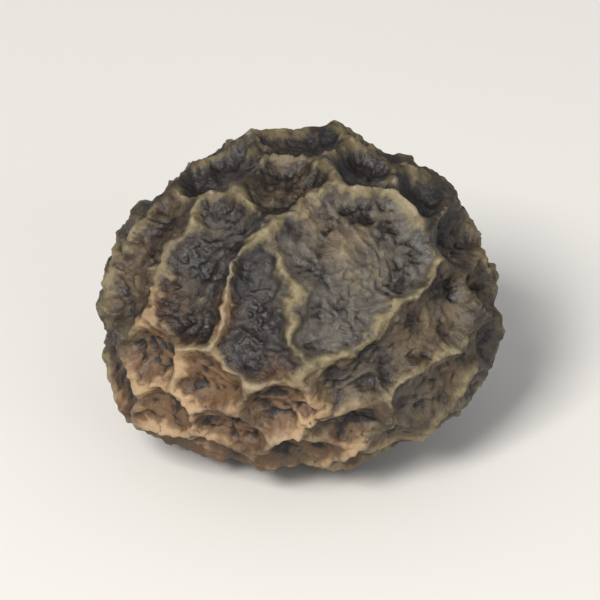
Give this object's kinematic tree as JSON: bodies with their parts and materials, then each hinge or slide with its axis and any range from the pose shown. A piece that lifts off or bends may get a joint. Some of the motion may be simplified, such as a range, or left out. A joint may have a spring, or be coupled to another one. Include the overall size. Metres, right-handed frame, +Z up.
{
  "type": "black peppercorn",
  "caption": "Nearly round dried berry whose dark skin has shrunk into a raised net of ridges round sunken cells, resting on a small flat spot.",
  "frame": {"origin": "below the middle of the berry's width and depth, at the level of the flat spot it rests on", "axes": "+Z up, away from the flat spot; +X along the berry's width; -Y towards the front face, where two sunken cells lie side by side in a ring of ridges"},
  "size_m": [0.0054, 0.0052, 0.0043],
  "materials": {
    "dried_skin": "dull, slightly satin dried fruit skin: charcoal in the cells, olive and tan on the ridges"
  },
  "bodies": {
    "root": {"peppercorn": "dried_skin"}
  },
  "joints": []
}
